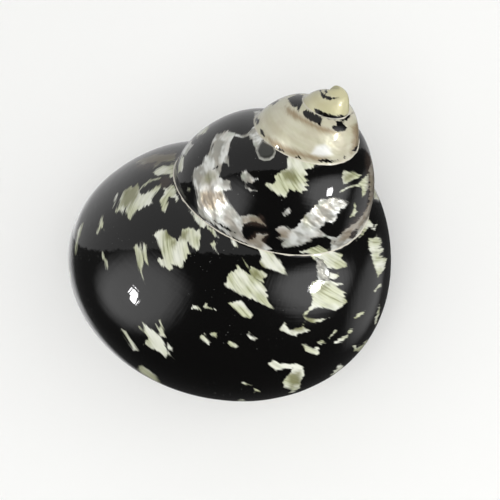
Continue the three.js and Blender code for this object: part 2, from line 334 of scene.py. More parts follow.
# How far the edge of a mark fades, in mm outside and inside its outline.
MARK_EDGES = {
    "cream": (0.12, 0.22),
    "pearl": (0.12, 0.2),
    "dark": (0.1, 0.1),
    "olive": (0.7, 0.7),
    "tan": (0.6, 0.6),
}

# Marks strewn over the sides that the photo doesn't show; lengths in mm.
HIDDEN_SEED = 11
HIDDEN_TURNS = (-2.6, -1.45, -0.49, 0.51)  # ends of the spire, the penultimate and the last whorl
SMALLEST_MARK = (1.5, 1.0)  # length and width
TOOTH_WIDTH = 1.3
TOOTH_DEPTHS = (0.3, 1.2)
FLAME_LEAN = 0.5
HIDDEN_FALL = 12.0  # marks fade by this many mm per unit of facing, past the horizon
HIDDEN_MARGIN = 0.05  # in units of facing

# Turns between which the look of the skin changes.
WORN_TURNS = (-1.44, -1.54)  # rubbed through, from here to the tip
YELLOW_TURNS = (-2.3, -3.3)
SUTURE_LINE_TURNS = (-2.7, -2.5)

# What the material knows of the skin: place in the growth, then depths inside the marks.
NOTE_NAMES = ("turn", "growth", "across", "inside", *KINDS)
LIP_INSIDE = 0.3  # notes for the flat of the lip; 1 is in the hollow
HOLLOW_ACROSS = 3.0  # the hollow counts as past the base, whose shares run from 1 to 2

# Lights; lengths in metres.
MIRRORED_DISTANCE = 3.0
FILL_DISTANCE = 1.6
FILL_SIZE = (1.6, 1.6)
LIGHT_MIDDLE = (0.5, 0.5, 0)  # on a light 1 wide and 1 high
LIGHT_FADE = (0.5, 0.2)  # so far from its middle a light is dark, and full


def photo_outlines(whorl, kind):
    """Outlines of one kind of mark on a whorl, each a list of points in the photo's pixels."""
    texts = PHOTO_MARKS[whorl].get(kind, {}).values()
    return [[tuple(map(float, pair.split(","))) for pair in text.split()] for text in texts]


def mix(first, second, share):
    return first + (second - first) * share


def smoothstep(value, low, high):
    share = np.clip((value - low) / (high - low), 0, 1)
    return share * share * (3 - 2 * share)


def soft_min(first, second, rounding):
    second = np.minimum(second, NO_LIMIT)
    share = np.clip(0.5 + (second - first) / (2 * rounding), 0, 1)
    return mix(second, first, share) - rounding * share * (1 - share)


def first_rise(f, low, high):
    """Where f stops being negative between low and high, or high if it never does."""
    low, high = np.broadcast_arrays(np.asarray(low, float), np.asarray(high, float))
    low, high = low.copy(), high.copy()
    never = f(high) < 0
    top = high.copy()
    for _ in range(HALVINGS):
        middle = (low + high) / 2
        below = f(middle) < 0
        low = np.where(below, middle, low)
        high = np.where(below, high, middle)
    return np.where(never, top, (low + high) / 2)


def grown(law, u):
    size, rate, bend, twist = law
    return size * np.exp(rate * u + bend * u ** 2 + twist * u ** 3)


def tube_at(u):
    """Middle and radius of the tube in the plane through the axis."""
    return grown(COIL_RADIUS, u), -grown(COIL_DROP, u), grown(TUBE_RADIUS, u)


def outline(angle):
    return 1 - TUBE_FLATTENING * np.sin(3 * angle)


def wall_point(u, angle):
    r, z, a = tube_at(u)
    reach = a * outline(angle)
    return r + reach * np.cos(angle), z + reach * np.sin(angle)


def outside_tube(u, point):
    r, z, a = tube_at(u)
    dr, dz = point[0] - r, point[1] - z
    return np.hypot(dr, dz) - a * outline(np.arctan2(dz, dr))


def axis_angle(u):
    r, _, a = tube_at(u)
    return np.arccos(np.maximum(-1, -r / a))


def suture_angle(u):
    def buried(angle):
        return -outside_tube(u - 1, wall_point(u, angle))
    return first_rise(buried, 0 * u, np.minimum(axis_angle(u), DEEPEST_SUTURE))


def lower_suture_angle(u):
    suture_r, suture_z = wall_point(u + 1, suture_angle(u + 1))
    r, z, _ = tube_at(u)
    return np.arctan2(suture_z - z, suture_r - r)


def whorl_point(u, v):
    """Outer skin from the upper suture (v 0) to the lower one (v 1)."""
    r, z = wall_point(u, mix(suture_angle(u), lower_suture_angle(u), v))
    return r, z + TIP_RISE * smoothstep(u + v, *TIP_TURNS)


def base_point(u, w):
    """Base of the last whorl, from the suture line (w 0) to the dimple on the axis (w 1)."""
    wall_r, wall_z = wall_point(u, mix(lower_suture_angle(u), -axis_angle(u), w))
    sink = smoothstep(w, DIMPLE_START, 1)
    return np.maximum(0, mix(wall_r, 0, sink)), mix(wall_z, -COLUMELLA_DIMPLE, sink)


def resting_frame():
    """The coil axis, the side turned to the floor, and the growth direction beside it."""
    flat = math.cos(AXIS_RISE)
    axis = np.array([flat * math.cos(AXIS_HEADING), flat * math.sin(AXIS_HEADING), math.sin(AXIS_RISE)])
    low_side = np.array([0, 0, -1.0]) + axis * axis[2]
    low_side /= np.linalg.norm(low_side)
    return axis, low_side, np.cross(low_side, axis)


AXIS, LOW_SIDE, GROWTH_SIDE = resting_frame()
APEX = np.array([0, 0, FLOOR_DEPTH])


def place(u, point):
    """Points in mm in the resting frame, before the footprint is centred."""
    angle = ((u - LOW_SIDE_TURN) * TURN)[..., None]
    r, z = point[0][..., None], point[1][..., None]
    around = LOW_SIDE * np.cos(angle) + GROWTH_SIDE * np.sin(angle)
    return around * r + AXIS * z + APEX


def lip_turn(strand, latest):
    """Turn at which a strand of skin reaches the floor, which makes the lip flat."""
    before, after = LIP_SEARCH
    reached = first_rise(lambda u: -place(u, strand(u))[..., 2], latest - before, latest + after)
    return soft_min(reached, latest, LIP_CORNER_TURNS)


def reach_to_last_whorl(u, angle):
    """Distance from the middle of the tube to the whorl before it, along one direction."""
    r, z, a = tube_at(u)

    def gap(d):
        return outside_tube(u - 1, (r + d * np.cos(angle), z + d * np.sin(angle)))

    step = REACH_LIMIT * a / REACH_PROBES
    found = np.full(np.shape(u + angle), np.inf)
    for i in range(REACH_PROBES, 0, -1):
        found = np.where(gap(step * i) < 0, step * i, found)
    near = np.where(np.isfinite(found), found, step)
    exact = first_rise(lambda d: -gap(d), near - step, near)
    return np.where(np.isfinite(found), exact, np.inf)


def hollow_radius(u, angle):
    r, _, a = tube_at(u)
    size = a / tube_at(np.float64(MOUTH_BASE_TURN))[2]
    outer = a * outline(angle) - LIP_WALL
    inner = reach_to_last_whorl(u, angle) - INNER_LIP_CALLUS
    tilt = np.maximum(LEAST_TILT, -np.cos(angle))
    column = np.where(np.cos(angle) < -LEAST_TILT, (r - COLUMELLA_RADIUS * size) / tilt, np.inf)
    return soft_min(soft_min(outer, inner, CORNER_ROUNDING), column, CORNER_ROUNDING)


def row_turn(i):
    """Turn of row i; row 0 is one turn before the top of the lip."""
    share = np.asarray(i, float) / ROWS
    crowd = FRONT_CROWDING / TURN * np.sin(TURN * (share - 0.5))
    return MOUTH_TOP_TURN - 1 + share - crowd


def growth_length(u):
    """Length in mm along the outside of the coil, from its start to turn u."""
    turns = np.linspace(-WHORLS - 1, 1, LENGTH_STEPS)
    r, _, a = tube_at(turns)
    lengths = np.cumsum((r + OUTSIDE_SHARE * a) * TURN) * (turns[1] - turns[0])
    return np.interp(u, turns, lengths)


def across_length(u, across):
    """Length in mm across the skin, from the upper suture."""
    angles = suture_angle(u) - lower_suture_angle(u)
    below = lower_suture_angle(u) + axis_angle(u)
    return tube_at(u)[2] * (angles * np.minimum(across, 1) + below * np.clip(across - 1, 0, 1))


def view_frame():
    """Directions of the photo's picture: right, up and towards the viewer."""
    front_angle = -LOW_SIDE_TURN * TURN
    front = LOW_SIDE * math.cos(front_angle) + GROWTH_SIDE * math.sin(front_angle)
    towards = front * math.cos(VIEW_RISE) + AXIS * math.sin(VIEW_RISE)
    axis_up = AXIS - towards * np.dot(AXIS, towards)
    axis_up /= np.linalg.norm(axis_up)
    axis_left = np.cross(towards, axis_up)
    right = axis_up * math.sin(VIEW_ROLL) - axis_left * math.cos(VIEW_ROLL)
    up = axis_up * math.cos(VIEW_ROLL) + axis_left * math.sin(VIEW_ROLL)
    return np.array([right, up, towards])


VIEW = view_frame()
EYE = APEX - np.array(APEX_IN_VIEW) @ VIEW


def in_picture(places):
    """Where places fall in the photo, in pixels."""
    seen = (places - EYE) @ VIEW.T
    depth = -seen[:, 2]
    half = PICTURE_PIXELS / 2
    return half + FOCAL_PIXELS * seen[:, 0] / depth, half - FOCAL_PIXELS * seen[:, 1] / depth


def outward(u, places):
    """Direction from the middle of the tube to each place."""
    r, z, _ = tube_at(u)
    away = places - place(u, (r, z))
    return away / np.linalg.norm(away, axis=1, keepdims=True)


def facing(u, places):
    """How squarely the skin faces the photo's camera: 1 straight at it, 0 edge on, less behind."""
    to_eye = EYE - places
    to_eye /= np.linalg.norm(to_eye, axis=1, keepdims=True)
    return np.sum(outward(u, places) * to_eye, axis=1)


def depth_inside(x, y, points):
    """Distance to the edge of a closed outline, negative outside it."""
    nearest = np.full(x.shape, np.inf)
    inside = np.zeros(x.shape, bool)
    for (ax, ay), (bx, by) in zip(points, [*points[1:], points[0]]):
        dx, dy = bx - ax, by - ay
        along = np.clip(((x - ax) * dx + (y - ay) * dy) / (dx * dx + dy * dy), 0, 1)
        nearest = np.minimum(nearest, np.hypot(x - ax - along * dx, y - ay - along * dy))
        crossed = (ay > y) != (by > y)
        inside ^= crossed & (x < ax + (y - ay) * dx / (dy or 1))
    return np.where(inside, nearest, -nearest)


def deepest_inside(x, y, outlines, reach):
    """Depth inside the deepest of several outlines, no lower than minus reach."""
    depth = np.full(x.shape, -reach)
    for points in outlines:
        low = np.min(points, axis=0) - reach
        high = np.max(points, axis=0) + reach
        near = np.flatnonzero((x > low[0]) & (x < high[0]) & (y > low[1]) & (y < high[1]))
        depth[near] = np.maximum(depth[near], depth_inside(x[near], y[near], points))
    return depth


def flame(random, middle, length, width):
    """Outline in mm of one mark on a hidden side: long edges along the growth, toothed ends."""
    teeth = max(2, round(width / TOOTH_WIDTH))
    levels = np.linspace(-width / 2, width / 2, 2 * teeth + 1)
    ends = []
    for side in (1, -1):
        lean = random.uniform(-FLAME_LEAN, FLAME_LEAN) * length / width
        for i, level in enumerate(levels * side):
            tooth = random.uniform(*TOOTH_DEPTHS) * (1 if i % 2 else -1)
            ends.append((middle[0] + side * (length / 2 + tooth) + lean * level, middle[1] + level))
    return ends


def hidden_marks(random, count, growth_span, across_span, longest, widest):
    """Many small marks and a few large ones, strewn over a stretch of skin."""
    marks = []
    for _ in range(count):
        middle = random.uniform(*growth_span), random.uniform(*across_span)
        length = mix(SMALLEST_MARK[0], longest, random.uniform() ** 2)
        width = mix(SMALLEST_MARK[1], widest, random.uniform() ** 2)
        marks.append(flame(random, middle, length, width))
    return marks


def plan_hidden_marks():
    """Marks for the sides that the photo doesn't show, in mm along and across the growth."""
    random = np.random.RandomState(HIDDEN_SEED)
    tip, spire_end, upper_end, end = (float(growth_length(u)) for u in HIDDEN_TURNS)
    last, upper, spire = (upper_end, end), (spire_end, upper_end), (tip, spire_end)
    cream = hidden_marks(random, 150, last, across_span=(1, 75), longest=11, widest=7)
    upper_cream = hidden_marks(random, 40, upper, across_span=(1, 25), longest=8, widest=5)
    upper_pearl = hidden_marks(random, 14, upper, across_span=(3, 25), longest=15, widest=12)
    spire_dark = hidden_marks(random, 24, spire, across_span=(0.5, 5), longest=5, widest=3)
    return {
        "last": {"cream": cream},
        "penultimate": {"cream": upper_cream, "pearl": upper_pearl},
        "spire": {"dark": spire_dark},
    }


HIDDEN_MARKS = plan_hidden_marks()


def mark_depths(whorl, u, places, growth, across):
    """Depth in mm inside the marks of each kind, one column per kind."""
    x, y = in_picture(places)
    square = facing(u, places)
    columns = []
    for kind in KINDS:
        seen = PIXEL_MM * deepest_inside(x, y, photo_outlines(whorl, kind), MARK_REACH / PIXEL_MM)
        seen -= HIDDEN_FALL * np.maximum(0, -square)
        unseen = deepest_inside(growth, across, HIDDEN_MARKS[whorl].get(kind, []), MARK_REACH)
        unseen -= HIDDEN_FALL * np.maximum(0, square + HIDDEN_MARGIN)
        columns.append(np.maximum(-MARK_REACH, np.maximum(seen, unseen)))
    return np.column_stack(columns)


def append_rows(rows, more):
    """Adds rows to a list and returns their numbers in it."""
    first = len(rows)
    rows.extend(np.atleast_2d(more))
    return np.arange(first, len(rows))


class Skin:
    """Gathers corner places and faces, with notes on the skin for each corner of each face."""

    def __init__(self):
        self.places = []
        self.notes = []
        self.faces = []
        self.face_notes = []

    def add_places(self, places):
        return append_rows(self.places, places)

    def add_notes(self, notes):
        return append_rows(self.notes, notes)

    def face(self, ids, notes):
        kept = [(a, n) for a, b, n in zip(ids, [*ids[1:], ids[0]], notes) if a != b]
        if len({a for a, _ in kept}) > 2:
            self.faces.append([int(a) for a, _ in kept])
            self.face_notes.append([int(n) for _, n in kept])

    def strip(self, row, following, row_notes, following_notes):
        for j in range(len(row) - 1):
            self.face([row[j], following[j], following[j + 1], row[j + 1]],
                      [row_notes[j], following_notes[j], following_notes[j + 1], row_notes[j + 1]])


def skin_notes(whorl, u, across, places, inside=0.0):
    """One row of notes for each corner, in the order of NOTE_NAMES."""
    growth = growth_length(u)
    across_mm = across_length(u, across)
    depths = mark_depths(whorl, u, places, growth, across_mm)
    return np.column_stack([u, growth, across_mm, np.full_like(u, inside), depths])


def raised_by_drip(whorl, u, places):
    """Lifts the skin where clear lacquer ran down and set as a drop."""
    outlines = photo_outlines(whorl, "drip")
    if not outlines:
        return places
    x, y = in_picture(places)
    depth = PIXEL_MM * deepest_inside(x, y, outlines, MARK_REACH / PIXEL_MM)
    lift = DRIP_HEIGHT * np.sqrt(smoothstep(depth, 0, DRIP_ROUNDING)) * (facing(u, places) > 0)
    return places + outward(u, places) * lift[:, None]


class Patch:
    """A lattice of skin with rows along the growth, whose picked cells are cut finely."""

    def __init__(self, whorl, turns, across, surface, split):
        self.whorl = whorl
        self.split = split
        self.surface = surface
        self.turns = spread(turns)
        self.across = spread(np.broadcast_to(across, turns.shape))
        self.needed = np.zeros(self.turns.shape, bool)
        self.needed[::FINE_SPLIT, ::FINE_SPLIT] = True
        for i, j in np.argwhere(split) * FINE_SPLIT:
            self.needed[i:i + FINE_SPLIT + 1, j:j + FINE_SPLIT + 1] = True
        self.ids = np.full(self.turns.shape, -1)
        self.notes = np.full(self.turns.shape, -1)

    def join(self, row, column, corner):
        """Uses a corner that is there already at this place of the fine lattice."""
        self.ids[row, column] = corner
        self.needed[row, column] = True

    def add_corners(self, skin):
        new = self.needed & (self.ids < 0)
        u, across = self.turns[new], self.across[new]
        places = raised_by_drip(self.whorl, u, place(u, self.surface(u, across)))
        self.ids[new] = skin.add_places(places)

    def add_faces(self, skin):
        u, across = self.turns[self.needed], self.across[self.needed]
        places = place(u, self.surface(u, across))
        self.notes[self.needed] = skin.add_notes(skin_notes(self.whorl, u, across, places))
        for i, j in np.ndindex(self.split.shape):
            row, column = i * FINE_SPLIT, j * FINE_SPLIT
            if not self.split[i, j]:
                self.add_cell(skin, row, column, FINE_SPLIT)
                continue
            for a, b in np.ndindex(FINE_SPLIT, FINE_SPLIT):
                self.add_cell(skin, row + a, column + b, 1)

    def add_cell(self, skin, i, j, size):
        steps = range(size)
        walk = [(i + s, j) for s in steps] + [(i + size, j + s) for s in steps]
        walk += [(i + size - s, j + size) for s in steps] + [(i, j + size - s) for s in steps]
        walk = [point for point in walk if self.needed[point]]
        skin.face([self.ids[point] for point in walk], [self.notes[point] for point in walk])

    def corner_rows(self, column):
        return self.ids[::FINE_SPLIT, column]


def spread(coarse):
    """Values on the fine lattice, linear between the coarse rows and columns."""
    def hats(count):
        fine = np.arange((count - 1) * FINE_SPLIT + 1)[:, None] / FINE_SPLIT
        return np.maximum(0, 1 - np.abs(fine - np.arange(count)))
    return hats(coarse.shape[0]) @ coarse @ hats(coarse.shape[1]).T


def cells_at_marks(whorl, turns, across, surface):
    """Picks the cells that the edge of a photo mark crosses, away from the lattice's own edges."""
    u = (turns[1:, 1:] + turns[:-1, :-1]) / 2
    v = np.broadcast_to((across[1:] + across[:-1]) / 2, u.shape)
    places = place(u, surface(u, v)).reshape(-1, 3)
    x, y = in_picture(places)
    picked = np.zeros(u.size, bool)
    for kind in SHARP_KINDS:
        for points in photo_outlines(whorl, kind):
            depth = deepest_inside(x, y, [points], 2 * SPLIT_PIXELS)
            picked |= np.abs(depth) < SPLIT_PIXELS
    picked &= facing(u.ravel(), places) > 0
    picked = picked.reshape(u.shape)
    picked[:, [0, -1]] = False
    picked[[0, -1], :] = False
    return picked


def rounded_lip(u, lip, share, point):
    """Draws the skin in towards the tube's middle close to the lip, for a rounded edge."""
    r, z, a = tube_at(u)
    before_lip = np.clip((lip - u) * TURN * (r + LIP_LEVER * a), 0, LIP_EDGE_ROUNDING)
    missing = LIP_EDGE_ROUNDING - before_lip
    inset = LIP_EDGE_ROUNDING - np.sqrt(LIP_EDGE_ROUNDING ** 2 - LIP_EDGE_DEPTH * missing ** 2)
    reach = np.maximum(np.hypot(point[0] - r, point[1] - z), LEAST_REACH)
    shrink = 1 - share * inset / reach
    return r + (point[0] - r) * shrink, z + (point[1] - z) * shrink


def turns_to_lip(lip):
    """Rows of turns for the last whorl: plain rows, then rows that lean over to meet the lip."""
    last = ROWS - LIP_ROWS
    rows = [np.full_like(lip, row_turn(i)) for i in range(last + 1)]
    span = MOUTH_TOP_TURN - row_turn(last)
    for i in range(last + 1, ROWS):
        rows.append(mix(rows[last], lip, (row_turn(i) - row_turn(last)) / span))
    edge = [mix(rows[ROWS - 1], lip, share) for share in LIP_EDGE_SHARES]
    return np.array(rows + edge)


def add_last_whorl(skin, lip, corner):
    turns = turns_to_lip(lip)

    def surface(u, across):
        lip_there = np.interp(across, WHORL_SHARES, lip)
        rounded = smoothstep(across, 0, LIP_CORNER_SHARE)
        return rounded_lip(u, lip_there, rounded, whorl_point(u, across))

    split = cells_at_marks("last", turns, WHORL_SHARES, surface)
    split[ROWS - LIP_ROWS:] = False
    patch = Patch("last", turns, WHORL_SHARES, surface, split)
    patch.join(0, -1, corner)
    for i in range(ROWS, len(turns)):
        patch.join(i * FINE_SPLIT, 0, corner)
    patch.add_corners(skin)
    patch.add_faces(skin)
    return patch


def join_lower_edge(patch, rows, upper_edge):
    """Joins the lower edge to the corners of the whorl below it, one turn later."""
    step = (rows[1] - rows[0]) / FINE_SPLIT
    for fine in range(patch.ids.shape[0] - 1):
        row = rows[0] + fine * step + ROWS
        if row in upper_edge:
            patch.join(fine, -1, upper_edge[row])


def add_earlier_whorls(skin, last_whorl):
    """Whorls before the last, each joined to the one after it at its end and along its lower edge."""
    first = -SPIRE_STEP * round((WHORLS - 1) * ROWS / SPIRE_STEP)
    penultimate_rows = np.arange(-ROWS, 1, PENULTIMATE_STEP)
    spire_rows = np.arange(first, -ROWS + 1, SPIRE_STEP)
    upper_edge = dict(enumerate(last_whorl.corner_rows(0)[:ROWS + 1]))
    following = last_whorl
    for whorl, rows in (("penultimate", penultimate_rows), ("spire", spire_rows)):
        turns = np.broadcast_to(row_turn(rows)[:, None], (len(rows), len(WHORL_SHARES)))
        split = cells_at_marks(whorl, turns, WHORL_SHARES, whorl_point)
        patch = Patch(whorl, turns, WHORL_SHARES, whorl_point, split)
        patch.needed[:, -1] = False
        for column in np.flatnonzero(following.ids[0] >= 0):
            patch.join(-1, column, following.ids[0, column])
        join_lower_edge(patch, rows, upper_edge)
        patch.add_corners(skin)
        upper_edge.update(zip(rows, patch.corner_rows(0)))
        join_lower_edge(patch, rows, upper_edge)
        patch.add_faces(skin)
        following = patch
    add_tip(skin, following, upper_edge, first)


def add_tip(skin, spire, upper_edge, first):
    """Closes the start of the coil with a small cap."""
    _, z, a = tube_at(np.float64(row_turn(first)))
    tip_place = AXIS * (z + a + TIP_RISE) + APEX
    tip = skin.add_places(tip_place)[0]
    edge = [upper_edge[i] for i in range(first, first + ROWS + 1) if i in upper_edge]
    start = spire.ids[0][spire.ids[0] >= 0]
    u = np.array([float(row_turn(first))])
    note = skin.add_notes(skin_notes("spire", u, np.zeros(1), tip_place[None, :]))[0]
    for a, b in zip(edge, edge[1:]):
        skin.face([a, tip, b], [note] * 3)
    for a, b in zip(start, start[1:]):
        skin.face([a, b, tip], [note] * 3)


def add_base(skin, last_whorl, lip, inner_lip):
    corner = last_whorl.ids[0, -1]
    dimple = skin.add_places(AXIS * -COLUMELLA_DIMPLE + APEX)[0]
    start = np.full_like(BASE_SHARES, row_turn(0))
    turns = [mix(inner_lip, start, i / INNER_LIP_ROWS) for i in range(INNER_LIP_ROWS)]
    turns = np.concatenate([turns, turns_to_lip(lip)])

    def surface(u, across):
        lip_there = np.interp(across - 1, BASE_SHARES, lip)
        rounded = 1 - smoothstep(across - 1, DIMPLE_START, 1)
        return rounded_lip(u, lip_there, rounded, base_point(u, across - 1))

    split = np.zeros((len(turns) - 1, BASE_COLUMNS), bool)
    patch = Patch("last", turns, 1 + BASE_SHARES, surface, split)
    edges = [corner] * INNER_LIP_ROWS + list(last_whorl.corner_rows(-1))
    for i, edge in enumerate(edges):
        patch.join(i * FINE_SPLIT, 0, edge)
        patch.join(i * FINE_SPLIT, -1, dimple)
    patch.add_corners(skin)
    patch.add_faces(skin)
    return patch


def add_hollow(skin, edge_ids, turns, points):
    """The flat of the lip, then the hollow to its rounded end inside the shell."""
    r, z, _ = tube_at(turns)
    angle = np.arctan2(points[1] - z, points[0] - r)
    reach = np.hypot(points[1] - z, points[0] - r)

    def inside(u, limit):
        r, z, _ = tube_at(u)
        d = np.minimum(limit, hollow_radius(u, angle))
        return place(u, (r + d * np.cos(angle), z + d * np.sin(angle)))

    def notes(u, places, depth):
        ids = skin.add_notes(skin_notes("last", u, np.full_like(u, HOLLOW_ACROSS), places, depth))
        return np.append(ids, ids[0])

    on_floor = np.abs(place(turns, points)[:, 2]) < FLOOR_TOUCH
    before, after = HOLLOW_SEARCH
    to_floor = first_rise(lambda u: -inside(u, np.inf)[:, 2], turns - before, turns + after)
    starts = np.where(on_floor, to_floor, turns)
    row = np.append(edge_ids, edge_ids[0])
    row_notes = notes(turns, place(turns, points), LIP_INSIDE)
    for i in range(HOLLOW_ROWS + 1):
        depth = i / HOLLOW_ROWS
        u = mix(starts, MOUTH_BASE_TURN - HOLLOW_TURNS, depth)
        narrowing = np.sqrt(1 - HOLLOW_TAPER * smoothstep(depth, HOLLOW_TAPER_START, 1))
        limit = reach - INNER_LIP_CALLUS if i == 0 else hollow_radius(u, angle) * narrowing
        places = inside(u, limit)
        ids = skin.add_places(places)
        following = np.append(ids, ids[0])
        following_notes = notes(u, places, 1.0)
        skin.strip(row, following, row_notes, following_notes)
        row, row_notes = following, following_notes
    end = skin.add_places(np.mean(places, axis=0))[0]
    skin.strip(row, np.full_like(row, end), row_notes, row_notes)


def build_skin():
    v, w = WHORL_SHARES, BASE_SHARES
    lip = lip_turn(lambda u: whorl_point(u, v), np.full_like(v, MOUTH_TOP_TURN))
    latest = mix(MOUTH_TOP_TURN, MOUTH_BASE_TURN, smoothstep(w, 0, LIP_RECEDES))
    base_lip = lip_turn(lambda u: base_point(u, w), latest)
    inner_lip = mix(MOUTH_TOP_TURN, MOUTH_BASE_TURN, w) - 1

    skin = Skin()
    top = np.array([MOUTH_TOP_TURN])
    corner = skin.add_places(place(top, whorl_point(top, 0 * top)))[0]
    last_whorl = add_last_whorl(skin, lip, corner)
    add_earlier_whorls(skin, last_whorl)
    base = add_base(skin, last_whorl, base_lip, inner_lip)

    lip_row = last_whorl.ids[-1, ::FINE_SPLIT]
    base_row, inner_row = base.ids[-1, ::FINE_SPLIT], base.ids[0, ::FINE_SPLIT]
    edge_ids = np.concatenate([lip_row, base_row[1:], inner_row[1:-1][::-1]])
    turns = np.concatenate([lip, base_lip[1:], inner_lip[1:-1][::-1] + 1])
    strands = [whorl_point(lip, v), base_point(base_lip, w), base_point(inner_lip, w)]
    points = [np.concatenate([a, b[1:], c[1:-1][::-1]]) for a, b, c in zip(*strands)]
    add_hollow(skin, edge_ids, turns, points)
    return skin


def centred(places):
    """Moves the footprint's middle to the origin, as the solid has it."""
    low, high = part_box("shell")
    middle = (places.min(axis=0) + places.max(axis=0)) / 2
    wanted = [(low[i] + high[i]) / 2 / MM for i in range(2)]
    return np.array([wanted[0] - middle[0], wanted[1] - middle[1], 0])


def add_camera(shift):
    eye = (EYE + shift) * MM
    data = bpy.data.cameras.new("photo_camera")
    data.sensor_width = 36
    data.lens = data.sensor_width * FOCAL_PIXELS / PICTURE_PIXELS
    data.clip_start = 0.005
    camera = bpy.data.objects.new("photo_camera", data)
    camera.matrix_world = Matrix([[*VIEW[:, i], eye[i]] for i in range(3)] + [[0, 0, 0, 1]])
    bpy.context.scene.collection.objects.link(camera)
    bpy.context.scene.camera = camera


def add_shell():
    skin = build_skin()
    places = np.array(skin.places)
    places[:, 2] = np.maximum(0, places[:, 2])
    shift = centred(places)
    mesh = bpy.data.meshes.new("shell_skin")
    mesh.from_pydata((places + shift) * MM, [], skin.faces)
    mesh.polygons.foreach_set("use_smooth", np.ones(len(mesh.polygons), bool))
    corner_notes = np.array(skin.notes)[np.concatenate(skin.face_notes)]
    for name, values in zip(NOTE_NAMES, corner_notes.T):
        layer = mesh.attributes.new(name, "FLOAT", "CORNER")
        layer.data.foreach_set("value", np.ascontiguousarray(values, np.float32))
    mesh.update()
    shell = bpy.data.objects.new("shell_skin", mesh)
    bpy.context.scene.collection.objects.link(shell)
    return shell, shift


def paint(code):
    """Linear colour of a hex code."""
    shares = [int(code[i:i + 2], 16) / 255 for i in (1, 3, 5)]
    return (*(s / 12.92 if s < 0.04045 else ((s + 0.055) / 1.055) ** 2.4 for s in shares), 1)


class Nodes:
    """Short calls for building a node tree."""

    def __init__(self, owner):
        owner.use_nodes = True
        self.tree = owner.node_tree

    def put(self, node, inputs):
        """Sets inputs of a node, each to a constant or to another node's output."""
        for key, value in inputs.items():
            if isinstance(value, bpy.types.NodeSocket):
                self.tree.links.new(value, node.inputs[key])
            else:
                node.inputs[key].default_value = value

    def add(self, kind, inputs, **settings):
        node = self.tree.nodes.new("ShaderNode" + kind)
        for name, value in settings.items():
            setattr(node, name, value)
        self.put(node, inputs)
        return node

    def note(self, name):
        return self.add("Attribute", {}, attribute_name=name).outputs["Fac"]

    def math(self, operation, first, second):
        return self.add("Math", {0: first, 1: second}, operation=operation).outputs[0]

    def rest(self, share):
        return self.math("SUBTRACT", 1.0, share)

    def sum(self, *terms):
        total = terms[0]
        for term in terms[1:]:
            total = self.math("ADD", total, term)
        return total

    def times(self, *factors):
        product = factors[0]
        for factor in factors[1:]:
            product = self.math("MULTIPLY", product, factor)
        return product

    def step(self, value, low, high):
        inputs = {"Value": value, "From Min": low, "From Max": high}
        return self.add("MapRange", inputs, interpolation_type="SMOOTHSTEP").outputs["Result"]

    def vector(self, x, y, z):
        return self.add("CombineXYZ", {0: x, 1: y, 2: z}).outputs[0]

    def noise(self, vector, detail=2.0, scale=1.0):
        inputs = {"Vector": vector, "Scale": scale, "Detail": detail}
        return self.add("TexNoise", inputs).outputs["Fac"]

    def cells(self, vector):
        return self.add("TexVoronoi", {"Vector": vector, "Scale": 1.0}).outputs["Distance"]

    def blend(self, share, first, second):
        first, second = (paint(c) if isinstance(c, str) else c for c in (first, second))
        return self.add("Mix", {0: share, 6: first, 7: second}, data_type="RGBA").outputs[2]

    def tint(self, colour, *tints):
        """Lays tints over a colour; each is a share of the skin, a strength and a colour."""
        for share, strength, tint in tints:
            colour = self.blend(self.times(share, strength), colour, tint)
        return colour

    def number(self, share, first, second):
        return self.add("Mix", {0: share, 2: first, 3: second}).outputs[0]

    def bump(self, height):
        return self.add("Bump", {"Distance": MM, "Height": height}).outputs[0]


def on_skin(nodes, per_growth, per_across, seed):
    """Texture place on the unrolled skin, with so many features per mm each way."""
    growth = nodes.times(nodes.note("growth"), per_growth)
    across = nodes.times(nodes.note("across"), per_across)
    return nodes.vector(growth, across, seed)


def along_streaks(nodes, per_along, per_athwart, seed):
    """Texture place on the unrolled skin, turned to the lean of the streaks."""
    growth, across = nodes.note("growth"), nodes.note("across")
    lean, upright = math.sin(STREAK_LEAN), math.cos(STREAK_LEAN)
    along = nodes.sum(nodes.times(growth, upright), nodes.times(across, lean))
    athwart = nodes.sum(nodes.times(across, upright), nodes.times(growth, -lean))
    return nodes.vector(nodes.times(along, per_along), nodes.times(athwart, per_athwart), seed)


def clouds(nodes, per_growth, per_across, seed, low, high, detail=2.0):
    """Soft patches on the skin, where a noise rises from low to high."""
    return nodes.step(nodes.noise(on_skin(nodes, per_growth, per_across, seed), detail), low, high)


def streaks(nodes, per_along, per_athwart, seed, low, high, detail=2.0):
    """Soft streaks on the skin, where a noise rises from low to high."""
    return nodes.step(nodes.noise(along_streaks(nodes, per_along, per_athwart, seed), detail), low, high)


def mark_shapes(nodes):
    """Share of each kind of mark, frayed along the streaks at its ends."""
    coarse = nodes.math("SUBTRACT", nodes.noise(along_streaks(nodes, 0.2, 1.6, seed=0.0)), 0.5)
    fine = nodes.math("SUBTRACT", nodes.noise(along_streaks(nodes, 0.4, 5.0, seed=2.0)), 0.5)
    fraying = nodes.sum(nodes.times(coarse, 1.1), nodes.times(fine, 0.7))
    shapes = {}
    for kind, (outer, inner) in MARK_EDGES.items():
        shapes[kind] = nodes.step(nodes.sum(nodes.note(kind), fraying), -outer, inner)
    shapes["drip"] = nodes.step(nodes.note("drip"), -0.05, 0.05)
    return shapes


def black_colour(nodes, shapes):
    """Black lacquer with brown in the tan marks, and white specks of dust under it."""
    black = nodes.blend(nodes.noise(on_skin(nodes, 0.05, 0.12, seed=3.0)), "#030303", "#070605")
    dots = nodes.step(nodes.cells(on_skin(nodes, 0.9, 0.9, seed=61.0)), 0.09, 0.05)
    specks = nodes.times(dots, clouds(nodes, 0.06, 0.06, seed=63.0, low=0.5, high=0.62))
    return nodes.tint(black, (shapes["tan"], 0.2, "#6b5548"), (specks, 0.45, "#9fa19c"))


